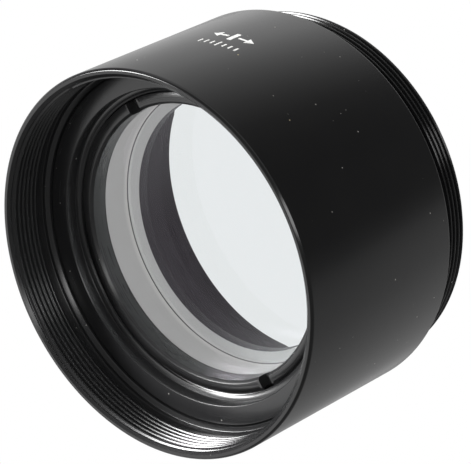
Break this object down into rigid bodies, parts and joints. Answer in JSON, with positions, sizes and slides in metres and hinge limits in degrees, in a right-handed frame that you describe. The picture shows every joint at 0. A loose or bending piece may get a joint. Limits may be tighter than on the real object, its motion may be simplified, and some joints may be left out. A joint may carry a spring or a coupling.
{
  "type": "auxiliary barlow lens",
  "caption": "Black screw-in negative lens unit: a cemented doublet clamped by a slotted retaining ring in a barrel with a male thread behind and a female thread in front.",
  "frame": {"origin": "centre of the end face of the male thread, which the unit stands on", "axes": "+Z along the optical axis, out of the front opening; +X through one spanner slot of the retaining ring"},
  "size_m": [0.051, 0.051, 0.0325],
  "materials": {
    "black_anodised": "gloss black anodised over fine turning marks",
    "black_matt_anodised": "satin black anodised",
    "black_film": "matt black polyester film",
    "crown_glass": "polished faces, ground edge",
    "flint_glass": "polished faces, ground edge",
    "optical_cement": "clear cured cement",
    "white_print": "pad-printed white ink"
  },
  "bodies": {
    "root": {"barrel": "black_anodised", "lens_cell": "black_matt_anodised", "front_element": "crown_glass", "cement_layer": "optical_cement", "rear_element": "flint_glass", "index_mark": "white_print"},
    "washer": {"slip_washer": "black_film"},
    "ring": {"retaining_ring": "black_matt_anodised"}
  },
  "joints": [
    {"name": "ring_lift", "type": "slide", "parent": "root", "child": "washer", "axis": [0, 0, 1], "range_m": [0, 0.00275]},
    {"name": "ring_turn", "type": "hinge", "parent": "washer", "child": "ring", "pos_m": [0, 0, 0.02225], "axis": [0, 0, 1], "range_deg": [0, 1980]}
  ],
  "couplings": [
    {"joint": "ring_turn", "follows": "ring_lift", "rad_per_m": 12566}
  ]
}
